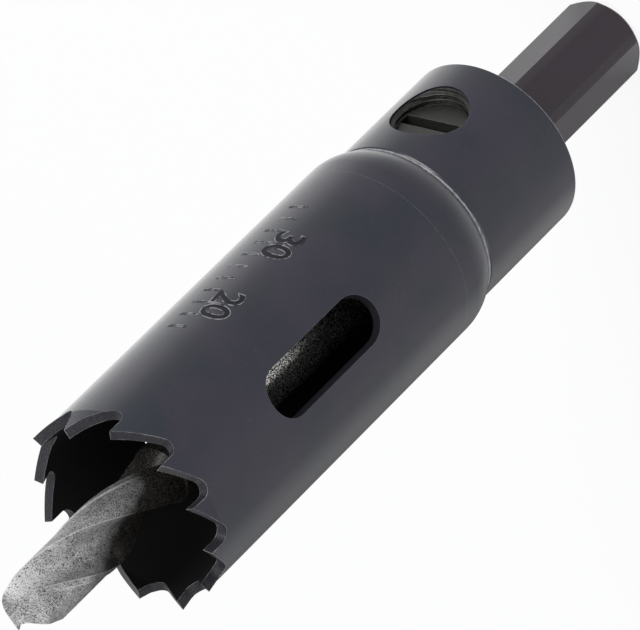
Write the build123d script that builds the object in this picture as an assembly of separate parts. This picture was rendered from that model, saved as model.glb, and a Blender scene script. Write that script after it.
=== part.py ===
"""Bi-metal hole saw, 22 mm, welded to a fixed arbor with a hex shank and a twist-drill pilot.

Frame: the tool stands on the end of its hex shank. The origin is the centre of that end face and
+Z is the tool's axis, so the hub, the cup, the teeth and the drill point follow one above the other.
Seen from the teeth the tool turns anticlockwise, which is clockwise seen from the shank.
"""
import os
from math import asin, atan2, cos, degrees, radians, sin, sqrt, tan

from build123d import *

os.makedirs("parts", exist_ok=True)

# ---------------------------------------------------------------- driving dimensions (mm, degrees)
# Arbor: hex shank, hub and the threaded spigot that the cup is screwed on
hex_across_flats = 8.6
hex_corner_dia = 9.4          # the bar is turned to this before the flats are milled
hex_azimuth = -88.0           # direction that one of the flats faces
shank_length = 19.9
shank_chamfer = 0.8
hub_dia = 19.5
hub_length = 15.1
hub_rear_chamfer = 0.2
hub_front_chamfer = 0.35
spigot_dia = 12.7
spigot_proud = 0.5            # how far the spigot stands out of the cap into the cup
spigot_chamfer = 0.6
bore_floor = 2.5              # steel left between the drill bore and the rear of the hub

# End cap, welded into the back of the cup
cap_height = 5.2              # from the hub to the weld
cap_register = 1.5            # rim that centres the wall
shoulder_drop = 0.95          # how much smaller the cap is where it meets the hub
shoulder_radius = 5.6
cap_edge_chamfer = 0.15

# Saw wall: one strip, toothed on its edge and rolled into a tube
wall_od = 21.4
wall_thickness = 1.05
wall_length = 42.2            # from the weld to the tooth points
slot_length = 16.6
slot_width = 5.55             # measured on the outside of the wall
slot_below_points = 22.4      # from the points to the middle of the slot
slot_azimuth = -105.2         # the second slot is opposite
slot_count = 2

# Teeth: pitches in order round the rim, and the share of its set that each tooth leans
# (above 0 outward, below 0 inward)
tooth_pitches = (32.6, 33.5, 26.6, 30.1, 28.1, 34.2, 34.2, 28.7, 27.7, 28.3, 28.3, 27.7)
tooth_lean = (0, 0, -1, 1, -1, 0, 1, -1, 1, 1, 0, -0.5)
first_tooth_azimuth = -86.5
tooth_depth = 3.5             # to where a tooth's back would meet the next cutting face
gullet_radius = 1.1
set_height = 2.1              # the bend lies this far below the points
set_out = 0.3                 # how far the point of an outward tooth moves
set_in = 0.65                 # and that of an inward one

# Pilot drill, two flutes, right-hand helix
drill_dia = 6.35
drill_beyond_points = 16.9    # how far the drill point leads the teeth
drill_lead = 40.0
drill_web = 1.2
drill_land_angle = 82.0
drill_margin = 0.7
drill_body_relief = 0.14      # radial step behind each margin
point_angle = 118.0
lip_clearance = 14.0
lip_facet = 1.8               # width of the straight part of the flank behind a lip
heel_radius = 2.0             # the flank rolls over on this behind the facet,
heel_angle = 80.0             # until it falls away this steeply
flute_length = 23.5           # from the point back to where the flutes run out
flute_run_out = 8.0
lip_azimuth = -72.5           # outer corner of one cutting lip
drill_flat_depth = 0.5
drill_flat_length = 10.0
drill_end_chamfer = 0.4

# Grub screw that holds the drill
screw_dia = 8.0
screw_length = 5.2
screw_azimuth = -44.0
screw_above_hub_rear = 7.85
screw_chamfer = 0.5
screw_slot_width = 1.4
screw_slot_depth = 1.5

# Fits
register_clearance = 0.03     # cap rim in the wall, radial
thread_clearance = 0.02       # spigot in the cap and screw in the hub, radial
bore_clearance = 0.03         # drill in the arbor, radial
over = 1.0                    # how far a cutter reaches past what it cuts

# ---------------------------------------------------------------- heights and radii that follow
hub_rear_z = shank_length
hub_front_z = hub_rear_z + hub_length
weld_z = hub_front_z + cap_height
points_z = weld_z + wall_length
cap_inner_z = weld_z + cap_register
spigot_end_z = cap_inner_z + spigot_proud
bore_bottom_z = hub_rear_z + bore_floor
drill_tip_z = points_z + drill_beyond_points
screw_z = hub_rear_z + screw_above_hub_rear

hub_r = hub_dia / 2
wall_r = wall_od / 2
wall_inner_r = wall_r - wall_thickness
drill_r = drill_dia / 2
bore_r = drill_r + bore_clearance
screw_r = screw_dia / 2
screw_seat_r = drill_r - drill_flat_depth


def polar(radius, azimuth, z=0.0):
    """Point at a radius and azimuth about the tool's axis."""
    return Vector(radius * cos(radians(azimuth)), radius * sin(radians(azimuth)), z)


def radial_plane(radius, azimuth, z):
    """Plane that faces outward: its x runs anticlockwise round the tool and its y along the axis."""
    around = Vector(-sin(radians(azimuth)), cos(radians(azimuth)), 0)
    return Plane(origin=polar(radius, azimuth, z), x_dir=around, z_dir=polar(1, azimuth))


def turned(points):
    """Solid of revolution about the tool's axis from (radius, z) points."""
    outline = Plane.XZ * make_face(Polyline(points, close=True))
    return revolve(outline, axis=Axis.Z)


# ---------------------------------------------------------------- saw wall
def tooth_azimuths():
    """Azimuth of each tooth point, with the pitches shared out over the full turn."""
    whole = sum(tooth_pitches)
    azimuths = [first_tooth_azimuth]
    for pitch in tooth_pitches[:-1]:
        azimuths.append(azimuths[-1] + 360 * pitch / whole)
    return azimuths


def gullet_outline(pitch, scale):
    """Gap between two teeth, laid flat on a plane that faces outward, points at y = 0.

    It drops straight down the cutting face of one tooth, turns round the gullet and climbs
    the back of the next. Scaling x alone with the radius keeps its sides radial.
    """
    half = wall_r * tan(radians(pitch / 2)) * scale
    slope = tooth_depth / (2 * half)
    corner = (-half, -tooth_depth)
    past_point = (half + over * scale, over * scale * slope)
    outline = Polyline((-half, 2 * over), corner, past_point, (past_point[0], 2 * over), close=True)
    face = make_face(outline)
    root = face.vertices().sort_by(Axis.Y)[0]
    return fillet(root, gullet_radius * (1 + scale) / 2)


def gullet_cutter(azimuth, pitch):
    """Cutter for one gap, lofted from well inside the wall, past the set teeth, to outside it."""
    sections = []
    for radius in (wall_inner_r - 2 * over, wall_r + over):
        plane = radial_plane(radius, azimuth + pitch / 2, points_z)
        sections.append(plane * gullet_outline(pitch, radius / wall_r))
    return loft(sections, ruled=True)


def tooth_blank(start, arc, lean):
    """Sector of the rim above the bend line, leaning by the tooth's set, before it is cut."""
    bend_z = points_z - set_height
    top_z = points_z + over / 4
    full_set = set_out if lean > 0 else set_in
    shift = lean * full_set * (top_z - bend_z) / set_height
    outline = Polyline(
        (wall_inner_r, bend_z),
        (wall_r, bend_z),
        (wall_r + shift, top_z),
        (wall_inner_r + shift, top_z),
        close=True,
    )
    sector = revolve(Plane.XZ * make_face(outline), axis=Axis.Z, revolution_arc=arc)
    return Rot(0, 0, start) * sector


def slot_cutter(azimuth):
    """Chip slot with radial sides, as punched in the strip before it is rolled."""
    sections = []
    for radius in (wall_inner_r - over, wall_r + over):
        plane = radial_plane(radius, azimuth, points_z - slot_below_points)
        width = slot_width * radius / wall_r
        sections.append(plane * SlotOverall(slot_length, width, rotation=90))
    return loft(sections, ruled=True)


def saw_wall():
    """Rolled strip with set teeth on its edge and chip slots through its side."""
    tube_height = wall_length - set_height
    tube = Cylinder(wall_r, tube_height) - Cylinder(wall_inner_r, tube_height)
    wall = Pos(0, 0, weld_z + tube_height / 2) * tube

    azimuths = tooth_azimuths()
    gaps = [after - before for before, after in zip(azimuths, azimuths[1:])]
    gaps.append(360 - sum(gaps))
    cutters = [gullet_cutter(azimuth, gap) for azimuth, gap in zip(azimuths, gaps)]
    gullet_middle = degrees(gullet_radius / wall_r)
    teeth = []
    for index, lean in enumerate(tooth_lean):
        start = azimuths[index] - gaps[index - 1] + gullet_middle
        blank = tooth_blank(start, gaps[index - 1], lean)
        teeth.append(blank - [cutters[index - 1], cutters[index]])
    slots = [slot_cutter(slot_azimuth + index * 360 / slot_count) for index in range(slot_count)]
    return wall - cutters - slots + teeth


# ---------------------------------------------------------------- end cap
def end_cap():
    """Turned disc with a rounded shoulder, a centring rim for the wall and a threaded middle."""
    hole_r = spigot_dia / 2 + thread_clearance
    register_r = wall_inner_r - register_clearance
    back_r = wall_r - shoulder_drop
    shoulder_length = sqrt(2 * shoulder_radius * shoulder_drop - shoulder_drop**2)
    shoulder_z = hub_front_z + cap_edge_chamfer + shoulder_length
    half_sweep = asin(shoulder_length / shoulder_radius) / 2
    middle = (
        wall_r - shoulder_radius * (1 - cos(half_sweep)),
        shoulder_z - shoulder_radius * sin(half_sweep),
    )
    shoulder_start = (back_r, hub_front_z + cap_edge_chamfer)
    outline = [
        ThreePointArc(shoulder_start, middle, (wall_r, shoulder_z)),
        Polyline(
            (wall_r, shoulder_z),
            (wall_r, weld_z),
            (register_r, weld_z),
            (register_r, cap_inner_z),
            (hole_r, cap_inner_z),
            (hole_r, hub_front_z),
            (back_r - cap_edge_chamfer, hub_front_z),
            shoulder_start,
        ),
    ]
    return revolve(Plane.XZ * make_face(outline), axis=Axis.Z)


# ---------------------------------------------------------------- arbor
def hex_shank():
    """Hex bar with its corners turned off and a chamfered end."""
    flats = RegularPolygon(hex_across_flats / 2, 6, major_radius=False, rotation=hex_azimuth + 30)
    bar = extrude(flats, shank_length)
    corner_r = hex_corner_dia / 2
    envelope = turned(
        [
            (0, 0),
            (corner_r - shank_chamfer, 0),
            (corner_r, shank_chamfer),
            (corner_r, shank_length),
            (0, shank_length),
        ]
    )
    return bar & envelope


def arbor():
    """Hex shank, hub and threaded spigot in one piece, bored for the drill and the grub screw."""
    spigot_r = spigot_dia / 2
    body = turned(
        [
            (0, hub_rear_z),
            (hub_r - hub_rear_chamfer, hub_rear_z),
            (hub_r, hub_rear_z + hub_rear_chamfer),
            (hub_r, hub_front_z - hub_front_chamfer),
            (hub_r - hub_front_chamfer, hub_front_z),
            (spigot_r, hub_front_z),
            (spigot_r, spigot_end_z - spigot_chamfer),
            (spigot_r - spigot_chamfer, spigot_end_z),
            (0, spigot_end_z),
        ]
    )
    bore_height = spigot_end_z + over - bore_bottom_z
    bore = Pos(0, 0, bore_bottom_z + bore_height / 2) * Cylinder(bore_r, bore_height)
    hole_length = hub_r + over
    hole = Pos(0, 0, hole_length / 2) * Cylinder(screw_r + thread_clearance, hole_length)
    return body + hex_shank() - bore - radial_plane(0, screw_azimuth, screw_z) * hole


def grub_screw():
    """Slotted set screw, seated on the drill's flat."""
    blank = Pos(0, 0, screw_length / 2) * Cylinder(screw_r, screw_length)
    blank = chamfer(blank.edges().filter_by(GeomType.CIRCLE), screw_chamfer)
    slot = Box(2 * screw_dia, screw_slot_width, 2 * screw_slot_depth)
    return radial_plane(screw_seat_r, screw_azimuth, screw_z) * (blank - Pos(0, 0, screw_length) * slot)


# ---------------------------------------------------------------- pilot drill
def drill_section():
    """Section across the flutes.

    Each land has a full-radius margin behind its leading corner and is relieved from there to its
    heel. Each flute has two radial sides joined by an arc that leaves the web between them.
    """
    body_r = drill_r - drill_body_relief
    margin_angle = degrees(drill_margin / drill_r)
    half_flute = (180 - drill_land_angle) / 2
    flute_radius = drill_web / 2 / (1 / sin(radians(half_flute)) - 1)
    tangent_r = flute_radius / tan(radians(half_flute))
    edges = []
    for lead in (0, -180):
        step = lead - margin_angle
        heel = lead - drill_land_angle
        next_lead = lead - 180
        edges += [
            ThreePointArc(polar(drill_r, lead), polar(drill_r, (lead + step) / 2), polar(drill_r, step)),
            Line(polar(drill_r, step), polar(body_r, step)),
            ThreePointArc(polar(body_r, step), polar(body_r, (step + heel) / 2), polar(body_r, heel)),
            Line(polar(body_r, heel), polar(tangent_r, heel)),
            ThreePointArc(
                polar(tangent_r, heel),
                polar(drill_web / 2, heel - half_flute),
                polar(tangent_r, next_lead),
            ),
            Line(polar(tangent_r, next_lead), polar(drill_r, next_lead)),
        ]
    return make_face(edges)


def flute_core(start_z):
    """Core that grows along an arc from the web to the full shank, where the flutes run out."""
    rise = drill_r - drill_web / 2
    arc_radius = (rise**2 + flute_run_out**2) / (2 * rise)
    sweep = atan2(flute_run_out, arc_radius - rise) / 2
    top_z = start_z + flute_run_out
    middle = (
        drill_web / 2 + arc_radius * (1 - cos(sweep)),
        top_z - arc_radius * sin(sweep),
    )
    outline = [
        ThreePointArc((drill_r, start_z), middle, (drill_web / 2, top_z)),
        Polyline((drill_web / 2, top_z), (0, top_z), (0, start_z), (drill_r, start_z)),
    ]
    return revolve(Plane.XZ * make_face(outline), axis=Axis.Z)


def flank_cutter(corner_azimuth):
    """What the grinding wheel takes off behind one cutting lip.

    The lip runs straight out from the web at half the point angle. Behind it the flank is first a
    facet at the clearance angle, then rolls over and falls away at the heel.
    """
    lip_offset = drill_web / 2
    azimuth = corner_azimuth - degrees(asin(lip_offset / drill_r))
    outward = polar(1, azimuth)
    slope = 1 / tan(radians(point_angle / 2))
    reach = drill_r + over
    clear = radians(lip_clearance)
    steep = radians(heel_angle)
    facet_end = (lip_offset - lip_facet, -lip_facet * tan(clear))
    centre = (facet_end[0] + heel_radius * sin(clear), facet_end[1] - heel_radius * cos(clear))
    roll = [
        (centre[0] - heel_radius * sin(angle), centre[1] + heel_radius * cos(angle))
        for angle in (clear, (clear + steep) / 2, steep)
    ]
    heel = (-reach, roll[2][1] - (roll[2][0] + reach) * tan(steep))
    ahead = (lip_offset + reach, reach * tan(clear))
    top = 4 * reach
    outline = [
        Line((lip_offset, 0), facet_end),
        ThreePointArc(*roll),
        Polyline(roll[2], heel, (heel[0], top), (ahead[0], top), ahead, (lip_offset, 0)),
    ]
    start = Vector(0, 0, drill_tip_z + reach * slope) - outward * reach
    ahead_dir = Vector(0, 0, 1).cross(outward)
    plane = Plane(origin=start, x_dir=ahead_dir, z_dir=outward)
    travel = outward * (2 * reach) - Vector(0, 0, 2 * reach * slope)
    return extrude(plane * make_face(outline), amount=travel.length, dir=travel.normalized())


def pilot_drill():
    """Twist drill: plain shank with a flat for the screw, helical flutes and a ground point."""
    flute_start_z = drill_tip_z - flute_length
    shank_height = flute_start_z - bore_bottom_z
    shank = Pos(0, 0, bore_bottom_z + shank_height / 2) * Cylinder(drill_r, shank_height)
    shank = chamfer(shank.edges().sort_by(Axis.Z)[0], drill_end_chamfer)

    corner_z = drill_tip_z - sqrt(drill_r**2 - (drill_web / 2) ** 2) / tan(radians(point_angle / 2))
    fluted_height = flute_length + over
    twist = 360 / drill_lead
    fluted = Solid.extrude_linear_with_rotation(
        drill_section().face(), (0, 0, 0), (0, 0, fluted_height), twist * fluted_height
    )
    start_azimuth = lip_azimuth - twist * (corner_z - flute_start_z)
    fluted = Pos(0, 0, flute_start_z) * Rot(0, 0, start_azimuth) * fluted

    drill = shank + fluted + flute_core(flute_start_z)
    for half_turn in (0, 180):
        drill -= flank_cutter(lip_azimuth + half_turn)
    flat = Pos(0, 0, drill_dia / 2) * Box(2 * drill_dia, drill_flat_length, drill_dia)
    return drill - radial_plane(screw_seat_r, screw_azimuth, screw_z) * flat


# ---------------------------------------------------------------- write one STEP for each piece
pieces = {
    "saw_wall": saw_wall(),
    "end_cap": end_cap(),
    "arbor": arbor(),
    "grub_screw": grub_screw(),
    "pilot_drill": pilot_drill(),
}
for name, piece in pieces.items():
    export_step(piece, f"parts/{name}.step")
    print(name, "volume", round(piece.volume, 1), "solids", len(piece.solids()))
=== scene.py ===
# %% [markdown]
# # Hole saw: finishes, small pieces, camera and light
#
# The tool is a toothed cup on an arbor, with a pilot drill through the middle. Its
# solids come from a CAD model, already packed as a fixed frame. Here they get their
# finishes, and the pieces too fine for the solids are added: the thread in the side
# of the hub, two weld lines and a stamped depth scale.
# Everything is in metres. +Z runs from the end of the hex shank to the drill point.

# %% Load the frame
import bmesh
import bpy
import math
from mathutils import Matrix, Vector


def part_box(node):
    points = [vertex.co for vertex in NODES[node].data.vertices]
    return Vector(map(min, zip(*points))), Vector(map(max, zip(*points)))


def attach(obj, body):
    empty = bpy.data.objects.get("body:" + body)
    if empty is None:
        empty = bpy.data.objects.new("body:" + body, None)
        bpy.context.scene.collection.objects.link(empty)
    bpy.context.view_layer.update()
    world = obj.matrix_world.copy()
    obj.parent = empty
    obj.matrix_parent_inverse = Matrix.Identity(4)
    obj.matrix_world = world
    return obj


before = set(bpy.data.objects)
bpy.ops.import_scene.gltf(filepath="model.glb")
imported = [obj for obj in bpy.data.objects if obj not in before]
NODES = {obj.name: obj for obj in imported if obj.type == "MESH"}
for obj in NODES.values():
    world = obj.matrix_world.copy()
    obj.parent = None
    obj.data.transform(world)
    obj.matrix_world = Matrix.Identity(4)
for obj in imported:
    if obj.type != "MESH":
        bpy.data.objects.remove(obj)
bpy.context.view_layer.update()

MM = 0.001
print("solids:", sorted(NODES))

# %% [markdown]
# ## Shader sums written as sums
#
# A finish is a tree of nodes, and most of them are small sums. They could be added
# and linked one by one, but a node tree is quicker to read as arithmetic. `Wire`
# wraps the output of a node. Adding or multiplying wires adds the Math nodes, and
# the reflected forms let a number come first, so `1 - mask` works.


# %% Wrap a socket for arithmetic
class Wire:
    """The output of a node, for use in plain arithmetic."""

    def __init__(self, finish, socket):
        self.finish, self.socket = finish, socket

    def math(self, operation, a, b=0.0):
        return self.finish.node("Math", {"operation": operation}, {0: a, 1: b})

    def __add__(self, other):
        return self.math("ADD", self, other)

    def __sub__(self, other):
        return self.math("SUBTRACT", self, other)

    def __rsub__(self, other):
        return self.math("SUBTRACT", other, self)

    def __mul__(self, other):
        return self.math("MULTIPLY", self, other)

    def __truediv__(self, other):
        return self.math("DIVIDE", self, other)

    __radd__, __rmul__ = __add__, __mul__

    def size(self):
        return self.math("ABSOLUTE", self)

    def most(self, other):
        return self.math("MAXIMUM", self, other)

    def rise(self, start, end):
        """0 at start, 1 at end and a smooth step between; start may be the higher."""
        return self.finish.node("MapRange", {"interpolation_type": "SMOOTHSTEP"},
                                {"Value": self, "From Min": start, "From Max": end})


print("a wire knows:", [name for name in vars(Wire) if name[0] != "_"])

# %% [markdown]
# ## A finish that builds its own nodes
#
# Every finish needs the same few tools: a place on the tool, noise, a blend of two
# colours, bumps and worn corners. `Finish` is a material with these tools. Its one
# method `node` makes any node, and the others call it. Noise is taken in the
# tool's own metres. Unwrapping the solids for flat textures would also work, but
# noise in space has no seams and doesn't stretch round the cup.


# %% Make a finish that builds its own nodes
class Finish:
    """A material, with its Principled shader and its place on the tool."""

    def __init__(self, name, tree=None, **constants):
        if tree is None:
            self.material = bpy.data.materials.new(name)
            self.material.use_nodes = True
            tree = self.material.node_tree
        self.tree = tree
        self.shader = tree.nodes.get("Principled BSDF")
        self.place = None
        for socket, value in constants.items():
            self.shader.inputs[socket.replace("_", " ")].default_value = value

    def node(self, kind, settings=None, sockets=None, out=0):
        """Any node: its type, then its settings, then values or wires for its sockets."""
        made = self.tree.nodes.new("ShaderNode" + kind)
        for key, value in (settings or {}).items():
            if key == "stops":
                elements = made.color_ramp.elements
                while len(elements) < len(value):
                    elements.new(1.0)
                for element, (at, tone) in zip(elements, value):
                    element.position, element.color = at, (*tone, 1.0)
            else:
                setattr(made, key, value)
        for key, value in (sockets or {}).items():
            self.feed(made.inputs[key], value)
        return Wire(self, made.outputs[out])

    def feed(self, socket, value):
        """Link a wire to a socket, or set the socket's own number or colour."""
        if isinstance(value, Wire):
            self.tree.links.new(value.socket, socket)
        else:
            socket.default_value = (*value, 1.0) if socket.type == "RGBA" else value

    def put(self, socket, value):
        """Feed one socket of the Principled shader."""
        self.feed(self.shader.inputs[socket], value)

    def where(self):
        """The point on the tool, in metres."""
        if self.place is None:
            self.place = self.node("TexCoord", out="Object")
        return self.place

    def parts(self, vector):
        """The x, y and z of a vector."""
        split = self.node("SeparateXYZ", None, {0: vector})
        return [Wire(self, output) for output in split.socket.node.outputs]

    def noise(self, grain, detail=2.0, rough=0.5, stretch=(1, 1, 1), seed=0.0):
        """Soft random values from 0 to 1 whose blotches are about `grain` metres wide."""
        size = [1 / (grain * s) for s in stretch]
        at = self.node("VectorMath", {"operation": "MULTIPLY"}, {0: self.where(), 1: size})
        at = self.node("VectorMath", {"operation": "ADD"}, {0: at, 1: (seed, seed, seed)})
        return self.node("TexNoise", None, {"Vector": at, "Scale": 1.0, "Detail": detail,
                                            "Roughness": rough})

    def blend(self, mask, low, high):
        """A colour from low to high as the mask goes from 0 to 1."""
        return self.node("Mix", {"data_type": "RGBA"}, {0: mask, 6: low, 7: high}, out=2)

    def bumps(self, height, depth):
        """A normal from a height; depth is in metres."""
        return self.node("Bump", None, {"Height": height, "Distance": depth, "Strength": 1.0})

    def edges(self, width):
        """Over 0 along sharp corners of the shape, within about `width` of them."""
        soft = self.node("Bevel", {"samples": 6}, {"Radius": width})
        true = self.node("NewGeometry", out="Normal")
        match = self.node("VectorMath", {"operation": "DOT_PRODUCT"}, {0: soft, 1: true}, out=1)
        return 1 - match


print("a finish knows:", [name for name in vars(Finish) if name[0] != "_"])

# %% [markdown]
# ## Camera
#
# The tool is seen from above and in front with a long lens, rolled so that the
# drill points to the lower left. A Track To constraint could aim the camera, but
# it gives no roll. So three directions of the view are stated: right, up and
# forward. They are the columns of the camera's matrix.

# %% Place the camera
CAMERA_AT = Vector((0.0, -0.61974373, 0.50386227))
VIEW_RIGHT = Vector((-0.7035923, -0.4200181, -0.5731864))
VIEW_UP = Vector((0.7106038, -0.4162189, -0.5672778))
VIEW_FORWARD = Vector((0.0003041, 0.8064408, -0.5913148))
SENSOR, LENS = 36.0, 450.0  # in mm
NEAREST, FARTHEST = 0.05, 20.0

lens = bpy.data.cameras.new("camera")
lens.sensor_width, lens.lens = SENSOR, LENS
lens.clip_start, lens.clip_end = NEAREST, FARTHEST
camera = bpy.data.objects.new("camera", lens)
turn = Matrix((VIEW_RIGHT, VIEW_UP, -VIEW_FORWARD)).transposed()
camera.matrix_world = Matrix.Translation(CAMERA_AT) @ turn.to_4x4()
bpy.context.scene.collection.objects.link(camera)
bpy.context.scene.camera = camera
print("camera distance in m:", round(CAMERA_AT.length, 3), "lens in mm:", lens.lens)

# %% [markdown]
# ## Surroundings
#
# A dark satin tool is lit mostly by what it mirrors. Large white panels would do,
# but plain white surroundings do the same from every side. Seen directly or in a
# shiny surface they are white; matt surfaces get their light at a plain level. A
# Light Path node tells the two kinds of ray apart.

# %% Set up the surroundings
WHITE = (1.0, 1.0, 1.0)
SKY_TINT = (0.93, 0.96, 1.0)
SKY_LIGHT = 0.55
bpy.context.scene.view_settings.view_transform = "Standard"


def light_seen(finish):
    """Two masks: rays of the camera, of gloss or of glass; and rays of gloss alone."""
    rays = finish.node("LightPath").socket.node.outputs
    eye, gloss, glass = [Wire(finish, rays["Is %s Ray" % kind])
                         for kind in ("Camera", "Glossy", "Transmission")]
    return eye.most(gloss).most(glass), gloss


world = bpy.data.worlds.new("surroundings")
bpy.context.scene.world = world
world.use_nodes = True
sky = Finish("surroundings", tree=world.node_tree)
seen, _ = light_seen(sky)
plain = sky.node("Background", None, {0: SKY_TINT, 1: SKY_LIGHT})
bright = sky.node("Background", None, {0: WHITE, 1: 1.0})
shown = sky.node("MixShader", None, {0: seen, 1: plain, 2: bright})
sky.feed(world.node_tree.nodes["World Output"].inputs[0], shown)
print("surroundings:", len(world.node_tree.nodes), "nodes")

# %% [markdown]
# ## Floor
#
# The floor is a pale bench top. To the eye it is white and keeps a faint shadow of
# the tool. On one side of the tool it is greyer in reflections: a painted shade, as a
# bench is in the tool's own shade. A shadow alone could do that, but it would show on
# the white floor too. The angle round the tool picks the painted shade from a colour ramp.

# %% Lay the floor
FLOOR_SIZE = 6.0
FLOOR_HEIGHT = -0.00005
FLOOR_PAINT = (0.98, 0.98, 0.98)
FLOOR_SHADOW = 0.12  # how much of the shadow shows
# painted shade of the bench, seen only in reflections
PAINTED_BENCH_SHADE = (  # a part of the turn from -X by way of -Y and +X, and its tone
    (0.0, 0.66), (0.05, 0.78), (0.14, 0.95), (0.25, 0.86), (0.47, 0.78), (0.53, 0.98),
    (0.60, 0.92), (0.68, 0.96), (0.715, 1.0), (0.765, 0.22), (0.80, 0.14), (0.84, 0.20),
    (0.88, 0.34), (0.94, 0.56))


def floor_tones():
    """White to the eye, and grey on the shaded side of the tool in reflections."""
    tones = Finish("pale_bench", Roughness=0.9)
    tones.put("Base Color", FLOOR_PAINT)
    x, y, _ = tones.parts(tones.where())
    turn = x.math("ARCTAN2", y, x)  # -pi to pi
    shade = tones.node("ValToRGB", {"stops": [(at, (tone,) * 3) for at, tone in PAINTED_BENCH_SHADE]},
                       {0: turn / (2 * math.pi) + 0.5})
    seen, gloss = light_seen(tones)
    glow = tones.node("Emission", None, {0: tones.blend(gloss, WHITE, shade), 1: 1.0})
    lit = Wire(tones, tones.shader.outputs[0])
    glowing = seen * (1 - FLOOR_SHADOW * (1 - gloss))
    mixed = tones.node("MixShader", None, {0: glowing, 1: lit, 2: glow})
    tones.feed(tones.tree.nodes["Material Output"].inputs[0], mixed)
    return tones.material


bpy.ops.mesh.primitive_plane_add(size=FLOOR_SIZE, location=(0, 0, FLOOR_HEIGHT))
floor = bpy.context.object
floor.name = "floor"
floor.data.materials.append(floor_tones())
print("floor:", FLOOR_SIZE, "m wide, with", len(PAINTED_BENCH_SHADE), "tones")

# %% [markdown]
# ## Lamps
#
# The surroundings alone would leave the matt faces flat. Two soft lamps shape them:
# a key lamp high on the +X side and a weaker fill lamp on the -X side. A sun lamp
# would give hard shadows; square area lamps keep them soft.

# %% Hang the lamps
LAMP_AIM = Vector((0, 0, 0.05))  # the middle of the tool


def soft_lamp(name, at, size, watts):
    """A square soft lamp at `at`, in metres, turned to the middle of the tool."""
    light = bpy.data.lights.new(name, "AREA")
    light.size, light.energy = size, watts
    lamp = bpy.data.objects.new(name, light)
    lamp.location = at
    aim = LAMP_AIM - lamp.location
    lamp.rotation_euler = aim.to_track_quat("-Z", "Y").to_euler()
    bpy.context.scene.collection.objects.link(lamp)
    print(name, "of", watts, "W")


soft_lamp("key_lamp", (0.55, -0.45, 0.75), 0.5, 5.0)
soft_lamp("fill_lamp", (-0.7, -0.3, 0.5), 0.6, 1.5)

# %% [markdown]
# ## Satin stoved paint
#
# Cup, end cap, hub and shank carry one coat of dark blue-grey stoved paint. Its
# colour is nearly black: what shows is the sheen. One layer with a strong sheen
# would turn white at a grazing angle, so the sheen comes from two weaker layers.
# Real stoved paint has a fine orange peel, soft patches where it dried thicker,
# specks of dust, and corners where it was rubbed thin. The patches change colour
# and roughness, the peel is a bump, and a mask that finds corners rubs them.

# %% Mix the paint
PAINT_BLUE = (0.0040, 0.0085, 0.0190)
PAINT_PLUM = (0.0150, 0.0112, 0.0260)
PAINT_DUST = (0.035, 0.036, 0.042)
RUBBED = (0.110, 0.108, 0.118)
PAINT_IOR = 1.33
PAINT_SHEEN = 0.24  # the roughness under the coat
COAT_SHEEN = 0.2
PATCH, PEEL, GRAIN, DUST = 7.5 * MM, 0.55 * MM, 0.09 * MM, 0.28 * MM
RUB_WIDTH = 0.12 * MM
PEEL_DEPTH = 0.006 * MM


def satin_paint(name, rub=1.0):
    """The stoved paint: the finish and its colour; rub is how worn its corners are."""
    paint = Finish(name, IOR=PAINT_IOR, Coat_IOR=PAINT_IOR, Coat_Weight=1.0,
                   Coat_Roughness=COAT_SHEEN)
    patches = paint.noise(PATCH, detail=2.0, rough=0.4)
    peel = paint.noise(PEEL, detail=1.0)
    grain = paint.noise(GRAIN, detail=2.0, seed=7.0)
    dust = paint.noise(DUST, detail=0.0, seed=31.0).rise(0.74, 0.80)
    rubbing = paint.noise(0.5 * MM, seed=3.0).rise(0.25, 0.6)
    corners = (paint.edges(RUB_WIDTH) * rubbing).rise(0.02, 0.2) * rub
    colour = paint.blend(patches.rise(0.34, 0.66), PAINT_BLUE, PAINT_PLUM)
    colour = paint.blend(dust * 0.35, colour, PAINT_DUST)
    colour = paint.blend(corners * 0.8, colour, RUBBED)
    paint.put("Base Color", colour)
    paint.put("Roughness", PAINT_SHEEN + (patches - 0.5) * 0.10 + (grain - 0.5) * 0.06
              + corners * 0.1)
    paint.put("Normal", paint.bumps(peel * 0.7 + grain * 0.22 + dust * 0.5, PEEL_DEPTH))
    return paint, colour


def wear(node, finish):
    """Give a solid of the frame this finish."""
    for place in NODES[node].material_slots:
        place.material = finish.material
    print(node, "wears", finish.material.name)


cap_paint, _ = satin_paint("cap_paint")
wear("end_cap", cap_paint)

# %% [markdown]
# ## Paint on the arbor
#
# The arbor wears the same paint. Where the hub was turned down to the hex, a bright
# line runs round its rear corner: a painted highlight, for that corner's reflection at a
# grazing angle. The shank has a thinner, browner coat. The line could be a ring of its
# own, but it has no thickness on the real arbor. So the height along the tool masks both.

# %% Paint the arbor
HUB_REAR = 19.9 * MM
LINE_LOW, LINE_HIGH = 0.12 * MM, 0.24 * MM  # the line fades out here, above the rear
# painted highlight of the hub's rear corner
RIM_PAINTED_HIGHLIGHT = (0.80, 0.79, 0.82)
SHANK_TONE = (0.0165, 0.0095, 0.0165)
hub_paint, hub_colour = satin_paint("hub_paint")
_, _, z = hub_paint.parts(hub_paint.where())
broken = hub_paint.noise(0.8 * MM, detail=2.0, seed=12.0).rise(0.1, 0.4)
# painted highlight: a pale line just above the rear corner of the hub
rim_highlight = (z.rise(HUB_REAR + LINE_HIGH, HUB_REAR + LINE_LOW)
          * z.rise(HUB_REAR - 0.05 * MM, HUB_REAR) * broken)
thin = z.rise(HUB_REAR + 0.02 * MM, HUB_REAR - 0.02 * MM)
hub_tone = hub_paint.blend(thin, hub_colour, SHANK_TONE)
hub_paint.put("Base Color", hub_paint.blend(rim_highlight, hub_tone, RIM_PAINTED_HIGHLIGHT))
hub_paint.put("Coat Weight", 1 - thin * 0.28)
wear("arbor", hub_paint)
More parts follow.
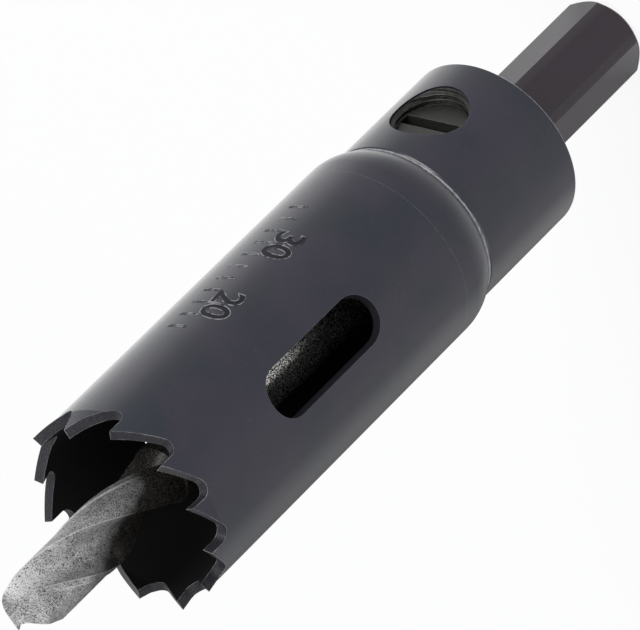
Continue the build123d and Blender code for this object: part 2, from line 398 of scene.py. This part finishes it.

# %% [markdown]
# ## Toothed rim
#
# The teeth are milled and set after the cup is rolled, then dipped in the same
# paint. The milled end faces hold less paint: they are greyer, finely speckled,
# and bright along their corners. Inside, the cup is painted nearly black and bare of
# sheen: painted shade, for the light that the deep cup keeps out. Faces could be picked
# by hand and given materials of their own, but they would show hard borders. So height
# and the direction of the face are turned into masks, and one paint covers the whole
# wall. The wall's own box gives the height of the tooth points.

# %% Find the zones of the wall
TOOTH_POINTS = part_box("saw_wall")[1].z
GULLETS = TOOTH_POINTS - 3.5 * MM
cup_paint, cup_colour = satin_paint("cup_paint")
here = cup_paint.where()
_, _, z = cup_paint.parts(here)
facing = cup_paint.node("NewGeometry", out="Normal")
across = cup_paint.node("VectorMath", {"operation": "MULTIPLY"}, {0: here, 1: (1, 1, 0)})
away = cup_paint.node("VectorMath", {"operation": "NORMALIZE"}, {0: across})
outward = cup_paint.node("VectorMath", {"operation": "DOT_PRODUCT"}, {0: facing, 1: away},
                         out=1)
cut_face = outward.size().rise(0.75, 0.55)
# faces turned in to the axis, which get the painted shade of the deep cup
shaded_inside = outward.rise(-0.3, -0.6)
rim = z.rise(GULLETS - 1.0 * MM, GULLETS - 0.4 * MM)
print("tooth points and gullets in mm:", round(TOOTH_POINTS / MM, 2), round(GULLETS / MM, 2))

# %% Paint the wall and its rim
MILLED_DARK = (0.010, 0.009, 0.013)
MILLED_GREY = (0.050, 0.049, 0.056)
SLOT_EDGE = (0.015, 0.013, 0.017)
BARE_EDGE = (0.62, 0.61, 0.60)
# painted shade: the inside of the cup nearly black
CUP_INSIDE_SHADE = (0.0022, 0.0018, 0.0020)
speckle = cup_paint.noise(0.10 * MM, detail=3.0, seed=11.0)
chips = cup_paint.noise(1.6 * MM, seed=21.0).rise(0.45, 0.62)
bare = (cup_paint.edges(0.09 * MM) * speckle.rise(0.30, 0.55)).rise(0.03, 0.22) * rim
milled = cup_paint.blend(speckle.rise(0.42, 0.66), MILLED_DARK, MILLED_GREY)
tone = cup_paint.blend(cut_face, cup_colour, SLOT_EDGE)
tone = cup_paint.blend(cut_face * rim, tone, milled)
tone = cup_paint.blend(bare * (0.3 + chips * 0.65), tone, BARE_EDGE)
tone = cup_paint.blend(shaded_inside, tone, CUP_INSIDE_SHADE)
cup_paint.put("Base Color", tone)
cup_paint.put("Coat Weight", 1 - cut_face.most(shaded_inside))
cup_paint.put("Roughness", PAINT_SHEEN + cut_face * 0.22 + shaded_inside * 0.45
              + (speckle - 0.5) * 0.06)
wear("saw_wall", cup_paint)

# %% [markdown]
# ## Twist drill
#
# The pilot drill is high speed steel. Its flutes and flanks near the point are
# bright and finely pitted, as if blasted, and their corners are bright lines. A paler
# patch on the +X side of the flanks near the point is a painted highlight. Towards the
# cup the steel turns brown-black: partly the skin of its heat treatment, partly painted
# shade of the cup. Two materials with a border between them would look cut, so one
# material fades from steel to this dark. The border slants across the drill, reaching
# higher on the -X side as painted shade, and noise breaks it up.

# %% Find the zones of the drill
# the dark is skin and painted shade of the cup: all round below the first pair, and higher on the
# -X side up to the second
SHANK_FULL, SHANK_END = 79.0 * MM, 82.0 * MM  # the skin goes all round up to here
SKIN_SHADE_FULL, SKIN_SHADE_END = 80.0 * MM, 86.0 * MM  # and on one side up to here
SHADE_SLANT, BORDER_SWAY = 3, 2.5 * MM
# bright flakes fade out above these heights, as painted shade towards the mouth of the cup
FLAKE_SHADE_FULL, FLAKE_SHADE_END = 69 * MM, 73 * MM
FLANK_START, FLANK_FULL = 90 * MM, 96 * MM
TIP_START, TIP_FULL = 96.4 * MM, 97.8 * MM
drill_steel = Finish("drill_steel", IOR=1.5)
x, _, z = drill_steel.parts(drill_steel.where())
pits = drill_steel.noise(0.16 * MM, detail=4.0, rough=0.7)
cloud = drill_steel.noise(1.3 * MM, detail=3.0, seed=5.0)
specks = drill_steel.noise(0.13 * MM, detail=1.0, seed=15.0)
grit = drill_steel.noise(0.07 * MM, detail=1.0, seed=27.0)
streaks = drill_steel.noise(0.5 * MM, detail=3.0, stretch=(1, 1, 5), seed=9.0)
crowd = drill_steel.noise(1.0 * MM, seed=23.0).rise(0.35, 0.65)
# painted shade: x slants the border, so the dark reaches higher on the -X side
shade_slanted = z + x * SHADE_SLANT + (cloud - 0.5) * BORDER_SWAY
skin_and_shade = shade_slanted.rise(SKIN_SHADE_END, SKIN_SHADE_FULL).most(z.rise(SHANK_END, SHANK_FULL))
# painted highlight: a pale patch on the +X side of the flanks near the point
painted_highlight = (z.rise(FLANK_START, FLANK_FULL) * x.rise(0.2 * MM, 1.4 * MM)
          * z.rise(TIP_FULL, TIP_START))
# fewer flakes above the slot: painted shade towards the mouth of the cup
flaked = specks.rise(0.47, 0.58) * (z.rise(FLAKE_SHADE_END, FLAKE_SHADE_FULL) * 0.95 + 0.05)
corner = drill_steel.edges(0.15 * MM).rise(0.004, 0.06) * (1 - skin_and_shade)
print("drill finish:", len(drill_steel.tree.nodes), "nodes for its zones")

# %% Finish the drill
DRILL_DULL = (0.115, 0.114, 0.113)
DRILL_BRIGHT = (0.62, 0.617, 0.615)
# painted highlight near the point
DRILL_PAINTED_HIGHLIGHT = (0.90, 0.895, 0.89)
DRILL_PIT = (0.012, 0.012, 0.012)
# brown-black: skin of the heat treatment and painted shade of the cup
DRILL_SKIN_AND_SHADE = (0.0075, 0.0055, 0.0040)
DRILL_FLAKE = (0.70, 0.69, 0.66)
DRILL_CORNER = (0.85, 0.85, 0.845)
CORNER_START, CORNER_END = 93 * MM, 96.5 * MM  # the point's corners are duller
PIT_DEPTH = 0.012 * MM
grain = (pits * 0.45 + grit * 0.40 + cloud * 0.15).rise(0.38, 0.62)
pitted = (specks - crowd * 0.06).rise(0.375, 0.33)
skin_and_shade_tone = drill_steel.blend(flaked, DRILL_SKIN_AND_SHADE, DRILL_FLAKE)
steel = drill_steel.blend(grain, DRILL_DULL, DRILL_BRIGHT)
steel = drill_steel.blend(painted_highlight * (0.12 + grit * 0.7), steel, DRILL_PAINTED_HIGHLIGHT)
steel = drill_steel.blend(pitted * 0.95, steel, DRILL_PIT)
steel = drill_steel.blend(skin_and_shade, steel, skin_and_shade_tone)
steel = drill_steel.blend(corner * (z.rise(CORNER_END, CORNER_START) * 0.4 + 0.25),
                          steel, DRILL_CORNER)
drill_steel.put("Base Color", steel)
drill_steel.put("Metallic", 0.72 - skin_and_shade * 0.72 + flaked * skin_and_shade * 0.95)
drill_steel.put("Roughness", 0.44 + (pits - 0.5) * 0.35 - skin_and_shade * 0.16)
drill_steel.put("Normal", drill_steel.bumps(pits * 0.6 + streaks * 0.5, PIT_DEPTH))
wear("pilot_drill", drill_steel)

# %% [markdown]
# ## Grub screw
#
# A black-oxide screw has no paint: the oxide is a thin satin skin, and the corners
# of its slot are rubbed to steel by the screwdriver. The paint's two layers would
# look too deep for it, so it gets a plain finish with one sheen.

# %% Finish the screw
OXIDE_DARK = (0.010, 0.010, 0.009)
OXIDE_GREY = (0.034, 0.034, 0.029)
OXIDE_RUBBED = (0.22, 0.22, 0.23)
FINE_DEPTH = 0.004 * MM
oxide = Finish("screw_oxide", IOR=1.5)
nibbled = oxide.noise(0.3 * MM, seed=2.0).rise(0.3, 0.6)
bite = (oxide.edges(0.12 * MM) * nibbled).rise(0.02, 0.18)
mottle = oxide.noise(0.4 * MM, detail=3.0, seed=4.0)
tint = oxide.blend(mottle, OXIDE_DARK, OXIDE_GREY)
oxide.put("Base Color", oxide.blend(bite * 0.7, tint, OXIDE_RUBBED))
oxide.put("Roughness", 0.36 + mottle * 0.14)
oxide.put("Normal", oxide.bumps(oxide.noise(0.12 * MM, seed=6.0), FINE_DEPTH))
wear("grub_screw", oxide)

# %% [markdown]
# ## Pieces made from a grid of points
#
# Thread and welds are rings whose section changes on the way round. A screw
# modifier or a bevelled curve keeps one section all the way. So such a ring is
# made from rows of points: every row is a closed loop, and the rows close too.
# One helper turns the rows into a mesh, and another puts a mesh on the tool.


# %% Put a mesh on the tool
def add_piece(name, mesh, finish):
    """Put a mesh on the tool with its finish."""
    piece = bpy.data.objects.new(name, mesh)
    bpy.context.scene.collection.objects.link(piece)
    mesh.materials.append(finish.material)
    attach(piece, "root")
    print(name, "has", len(mesh.polygons), "faces")


def finished_mesh(name, work, smooth):
    """Turn the normals outwards and store the work as a mesh."""
    bmesh.ops.recalc_face_normals(work, faces=work.faces)
    mesh = bpy.data.meshes.new(name)
    work.to_mesh(mesh)
    work.free()
    for face in mesh.polygons:
        face.use_smooth = smooth
    return mesh


print("the solids wear:", sorted(node.material_slots[0].name for node in NODES.values()))


# %% Turn rows of points into a ring
def ring_mesh(name, rows):
    """A closed skin over rows of points."""
    work = bmesh.new()
    made = [[work.verts.new(p) for p in row] for row in rows]
    for one, two in zip(made, made[1:] + made[:1]):
        for i in range(len(one)):
            j = (i + 1) % len(one)
            work.faces.new((one[i], one[j], two[j], two[i]))
    return finished_mesh(name, work, True)


def on_tool(angle, radius, height):
    """A point from the angle about the axis (0 is -Y, and +90 is +X), radius and height."""
    return Vector((radius * math.sin(angle), -radius * math.cos(angle), height))


print("a quarter turn from -Y is", tuple(round(v) for v in on_tool(math.pi / 2, 1, 0)))

# %% [markdown]
# ## Thread in the side of the hub
#
# Above the screw, the tapped hole shows its thread. It could be cut into the hub,
# but the hub is a fixed solid, so a thin liner stands in the hole: a sleeve whose
# inner face carries the ridge of the thread. Its outer edge follows the round hub,
# and the ridge fades out there, as a countersunk thread does.

# %% Shape the thread
HUB_RADIUS = 9.75 * MM
HOLE_RADIUS = 4.02 * MM
HOLE_HEIGHT = 27.75 * MM
HOLE_AZIMUTH = math.radians(-44)
SCREW_FACE = 7.875 * MM  # from the axis to the outer end of the screw
THREAD_PITCH = 0.62 * MM
THREAD_HEIGHT = 0.42 * MM
THREAD_CREST = 1.35  # over 1 cuts the crest flat
THREAD_FADE = 0.35 * MM
THREAD_AROUND, THREAD_ALONG = 144, 26
SLEEVE_BORE = HOLE_RADIUS - 0.02 * MM
SLEEVE_BACK = HOLE_RADIUS - 0.004 * MM
SLEEVE_START = SCREW_FACE - 0.6 * MM
SLEEVE_UNDER = 0.22 * MM  # how far the sleeve stays below the round of the hub
SLEEVE_LIP = 0.01 * MM
HOLE_OUT = Vector((math.cos(HOLE_AZIMUTH), math.sin(HOLE_AZIMUTH), 0))
HOLE_SIDE = Vector((-HOLE_OUT.y, HOLE_OUT.x, 0))


def thread_sleeve():
    """Rows round the hole; in each row the points go out along the bore and back behind it."""
    rows = []
    for step in range(THREAD_AROUND):
        around = 2 * math.pi * step / THREAD_AROUND
        side, up = math.cos(around), math.sin(around)
        mouth = math.sqrt(HUB_RADIUS ** 2 - (HOLE_RADIUS * side) ** 2) - SLEEVE_UNDER
        row = []
        for k in range(THREAD_ALONG + 1):
            out = SLEEVE_START + (mouth - SLEEVE_START) * k / THREAD_ALONG
            turns = (out / THREAD_PITCH - step / THREAD_AROUND) % 1.0
            ridge = min(1.0, (1 - abs(2 * turns - 1)) * THREAD_CREST)
            fade = min(1.0, (mouth - out) / THREAD_FADE) * min(1.0, k / 2)
            row.append((SLEEVE_BORE - THREAD_HEIGHT * ridge * fade, out))
        row += [(SLEEVE_BACK, mouth + SLEEVE_LIP), (SLEEVE_BACK, SLEEVE_START - SLEEVE_LIP)]
        rows.append([HOLE_OUT * out + HOLE_SIDE * (bore * side)
                     + Vector((0, 0, HOLE_HEIGHT + bore * up)) for bore, out in row])
    return rows


print("turns of thread in the sleeve:",
      round((HUB_RADIUS - SLEEVE_UNDER - SLEEVE_START) / THREAD_PITCH, 1))

# %% Finish the thread
# painted shade of the hole: the thread is nearly black, mottled with brown
THREAD_SHADE_BLACK = (0.003, 0.0028, 0.0025)
THREAD_SHADE_BROWN = (0.022, 0.021, 0.018)
tapped = Finish("tapped_thread", IOR=1.4)
thread_mottle = tapped.noise(0.5 * MM, detail=3.0, seed=14.0)
tapped.put("Base Color", tapped.blend(thread_mottle.rise(0.35, 0.7), THREAD_SHADE_BLACK, THREAD_SHADE_BROWN))
tapped.put("Roughness", 0.30 + thread_mottle * 0.2)
tapped.put("Normal", tapped.bumps(tapped.noise(0.1 * MM, seed=6.0), FINE_DEPTH))
add_piece("hub_thread", ring_mesh("hub_thread", thread_sleeve()), tapped)

# %% [markdown]
# ## Weld lines
#
# The cup is welded to its end cap, and the cap to the hub. Under the paint the
# weld is a low rounded ridge with ripples from the weld pool; at the seam of hub
# and cap the paint is worn to a pale line. A torus would be too even for a weld.
# So the ring is built from rows whose crest and height sway on the way round.

# %% Shape a weld ring
WALL_RADIUS = 10.7 * MM
WELD_AROUND, WELD_SIDES = 360, 12
WELD_RIPPLES = 46  # in one turn
RIPPLE_DRIFT, DRIFT_WAVES = 1.3, 5  # makes the ripples uneven
SWAY, SWAY_WAVES, SWAY_START = 0.05, 7, 0.6
WELD_SUNK = 0.08 * MM  # how far the ring reaches into the tool


def weld_ring(name, height, radius, width, rise, ripple):
    """A low ring round the tool, half sunk in it, with a rippled crest."""
    rows = []
    for step in range(WELD_AROUND):
        angle = 2 * math.pi * step / WELD_AROUND
        drift = RIPPLE_DRIFT * math.sin(angle * DRIFT_WAVES)
        crest = rise * (1 + ripple * math.sin(angle * WELD_RIPPLES + drift))
        sway = SWAY * width * math.sin(angle * SWAY_WAVES + SWAY_START)
        row = []
        for k in range(WELD_SIDES):
            turn = 2 * math.pi * k / WELD_SIDES
            reach = crest if math.sin(turn) > 0 else WELD_SUNK
            row.append(on_tool(angle, radius + reach * math.sin(turn),
                               height + sway + 0.5 * width * math.cos(turn)))
        rows.append(row)
    return ring_mesh(name, rows)


print("one weld ripple on the cup in mm:",
      round(2 * math.pi * WALL_RADIUS / MM / WELD_RIPPLES, 2))

# %% Lay the welds
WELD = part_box("saw_wall")[0].z
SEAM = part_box("end_cap")[0].z
SEAM_DARK = (0.15, 0.147, 0.157)
SEAM_PALE = (0.36, 0.355, 0.375)
seam_finish, _ = satin_paint("seam_wear")
rubs = seam_finish.noise(0.6 * MM, detail=3.0, stretch=(1, 1, 0.4), seed=8.0)
seam_finish.put("Base Color", seam_finish.blend(rubs.rise(0.25, 0.7), SEAM_DARK, SEAM_PALE))
cap_weld = weld_ring("cap_weld", WELD, WALL_RADIUS - 0.06 * MM,
                     width=0.34 * MM, rise=0.04 * MM, ripple=0.4)
add_piece("cap_weld", cap_weld, cap_paint)
hub_seam = weld_ring("hub_seam", SEAM - 0.10 * MM, HUB_RADIUS - 0.14 * MM,
                     width=0.30 * MM, rise=0.10 * MM, ripple=0.1)
add_piece("hub_seam", hub_seam, seam_finish)

# %% [markdown]
# ## Stamped depth scale
#
# A cup often has marks that show how deep it has cut. The marks here count
# millimetres from the tooth points: a short tick every two, a long one every ten,
# and plain numbers. They stand for marks struck into the wall: each has a thin raised
# lip and a dark floor, whose dark is painted shade of the recess. A bump could draw
# them, but real marks hold their edge close up. So they are drawn flat as curves first.

# %% Draw the marks flat
DEPTHS = range(16, 37, 2)  # in mm from the tooth points
TICK_ANGLE = math.radians(64)
NUMBER_ANGLE = math.radians(45)
NUMBER_SIZE = 4.4 * MM
SHORT_TICK, LONG_TICK = 2.3 * MM, 3.9 * MM
STROKE = 0.10 * MM  # how much each stroke is thickened


def flat_text(words, height):
    """A plain number whose baseline runs up the tool."""
    text = bpy.data.curves.new("number", "FONT")
    text.body, text.size, text.align_x, text.align_y = words, NUMBER_SIZE, "CENTER", "CENTER"
    text.offset = STROKE
    return text, Vector((height, (TICK_ANGLE - NUMBER_ANGLE) * WALL_RADIUS, 0))


def flat_tick(height, length):
    """A bar across the tool as a closed outline."""
    tick = bpy.data.curves.new("tick", "CURVE")
    tick.dimensions = "2D"
    line = tick.splines.new("POLY")
    line.points.add(3)
    for point, (x, y) in zip(line.points, ((-1, 0), (1, 0), (1, 1), (-1, 1))):
        point.co = (x * STROKE, y * length, 0, 1)
    line.use_cyclic_u = True
    return tick, Vector((height, 0, 0))


def flat_marks():
    """Every mark of the scale, with its place: x goes up the tool and y round it."""
    marks = []
    for depth in DEPTHS:
        height = TOOTH_POINTS - depth * MM
        marks.append(flat_tick(height, SHORT_TICK if depth % 10 else LONG_TICK))
        if depth % 10 == 0:
            marks.append(flat_text(str(depth), height))
    return marks


print("ticks at", list(DEPTHS), "mm")

# %% [markdown]
# ## Rolling the marks round the wall
#
# A flat mark has to bend with the cup. A shrinkwrap would do, but it slides points
# about. Here the marks are cut into narrow strips, so that there are points to
# bend at, and each point is then placed by its angle round the wall.

# %% Roll flat marks round the wall
STRIP = 0.35 * MM
STRIPS = range(-20, 50)


def roll_on_wall(work, lift):
    """Cut a flat mesh into strips and bend it round the wall, lift above it."""
    for step in STRIPS:
        geometry = work.verts[:] + work.edges[:] + work.faces[:]
        bmesh.ops.bisect_plane(work, geom=geometry, plane_co=(0, step * STRIP, 0),
                               plane_no=(0, 1, 0))
    for vert in work.verts:
        vert.co = on_tool(TICK_ANGLE - vert.co.y / WALL_RADIUS,
                          WALL_RADIUS + lift + vert.co.z, vert.co.x)


print("strips of", round(STRIP / MM, 2), "mm turn the wall by",
      round(math.degrees(STRIP / WALL_RADIUS), 2), "degrees each")

# %% [markdown]
# ## Lips and floors of the marks
#
# The lips are the outlines alone, as fine beads. The floors are the filled shapes,
# made into thin plates by an extrusion. A curve can extrude itself, but it grows
# both ways from its plane, and here only the outer side may move. The mesh
# extrusion lists its new edges and faces in no fixed order, so they are sorted and
# each run gives the same mesh.

# %% Make lips and floors from the curves
LIP = 0.055 * MM
PLATE = 0.022 * MM
PLATE_SUNK = 0.01 * MM
TOUCHING = 0.002 * MM


def in_order(work):
    """Sort edges and faces by their points, so that each run gives the same mesh."""
    work.verts.index_update()
    count = len(work.verts)

    def place(part):
        lowest = sorted(vert.index for vert in part.verts)[:3]
        return sum(index * count ** (2 - k) for k, index in enumerate(lowest))

    work.edges.sort(key=place)
    work.faces.sort(key=place)


def stamped(name, outline):
    """The marks as one mesh: their outlines as beads, or their floors as plates."""
    whole = bmesh.new()
    for curve, place in flat_marks():
        curve.fill_mode = "NONE" if outline else "BOTH"
        curve.bevel_depth = LIP if outline else 0.0
        curve.bevel_resolution = 1
        curve.resolution_u = 4
        carrier = bpy.data.objects.new("mark", curve)
        bpy.context.scene.collection.objects.link(carrier)
        bpy.context.view_layer.update()
        mesh = bpy.data.meshes.new_from_object(carrier)
        mesh.transform(Matrix.Translation(place))
        whole.from_mesh(mesh)
        bpy.data.meshes.remove(mesh)
        bpy.data.curves.remove(curve)
    bmesh.ops.remove_doubles(whole, verts=whole.verts, dist=TOUCHING)
    if not outline:
        for part in bmesh.ops.extrude_face_region(whole, geom=whole.faces[:])["geom"]:
            if isinstance(part, bmesh.types.BMVert):
                part.co.z += PLATE
        in_order(whole)
    roll_on_wall(whole, 0.0 if outline else -PLATE_SUNK)
    return finished_mesh(name, whole, outline)


print("a lip is", round(2 * LIP / MM, 3), "mm wide and a plate", round(PLATE / MM, 3), "mm thick")

# %% [markdown]
# ## Finishes of the scale
#
# The floors are dark: painted shade of a struck recess, as they are thin plates on the
# wall. The lips stand proud, so they carry the wall's paint, and they are pale in places,
# partly as wear and partly as painted highlight along the struck edges. One finish for
# both would lose the numbers, which are read by that difference.

# %% Stamp the scale
# painted shade of a struck recess, on the floors of the marks
STAMP_SHADE_BLUE = (0.003, 0.0045, 0.009)
STAMP_SHADE_PLUM = (0.009, 0.009, 0.014)
LIP_WORN_AND_HIGHLIGHT = (0.26, 0.255, 0.27)
stamp = Finish("stamped_marks", IOR=PAINT_IOR)
stamp.put("Base Color", stamp.blend(stamp.noise(0.2 * MM), STAMP_SHADE_BLUE, STAMP_SHADE_PLUM))
stamp.put("Roughness", 0.35 + stamp.noise(0.15 * MM, seed=3.0) * 0.3)
lip_paint, lip_colour = satin_paint("stamped_lip", rub=0.0)
# pale patches on the lips: partly wear, partly painted highlight
lip_wear_and_highlight = lip_paint.noise(0.7 * MM, seed=19.0).rise(0.42, 0.60)
lip_paint.put("Base Color", lip_paint.blend(lip_wear_and_highlight, lip_colour, LIP_WORN_AND_HIGHLIGHT))
add_piece("scale_lip", stamped("scale_lip", True), lip_paint)
add_piece("scale_marks", stamped("scale_marks", False), stamp)

# %% [markdown]
